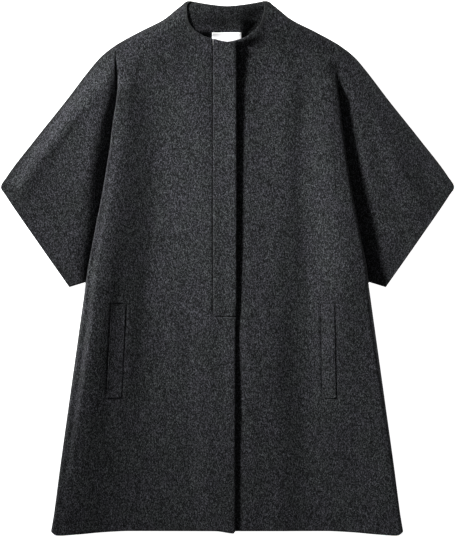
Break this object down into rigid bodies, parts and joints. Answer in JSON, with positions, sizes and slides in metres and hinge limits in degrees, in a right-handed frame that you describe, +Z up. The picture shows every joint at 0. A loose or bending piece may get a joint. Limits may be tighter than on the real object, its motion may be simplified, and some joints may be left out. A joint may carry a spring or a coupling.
{
  "type": "wool cape coat",
  "caption": "Charcoal brushed-wool cape coat laid flat on its back, with funnel collar, wide cape sleeves, hidden front placket and welt pockets.",
  "frame": {"origin": "bottom centre of the box: on the surface that the coat lies on, at the middle of its length and width", "axes": "+Y along the coat from hem to collar, +X towards the wearer's left sleeve, +Z up, out of the front"},
  "size_m": [0.8706, 1.0262, 0.0344],
  "materials": {
    "wool": "charcoal melange double-faced wool, brushed, matt with a short soft nap",
    "label": "plain white woven tape, matt"
  },
  "bodies": {
    "root": {"back": "wool", "front_right": "wool", "front_left": "wool", "placket": "wool", "welt_right": "wool", "welt_left": "wool", "label": "label"}
  },
  "joints": []
}
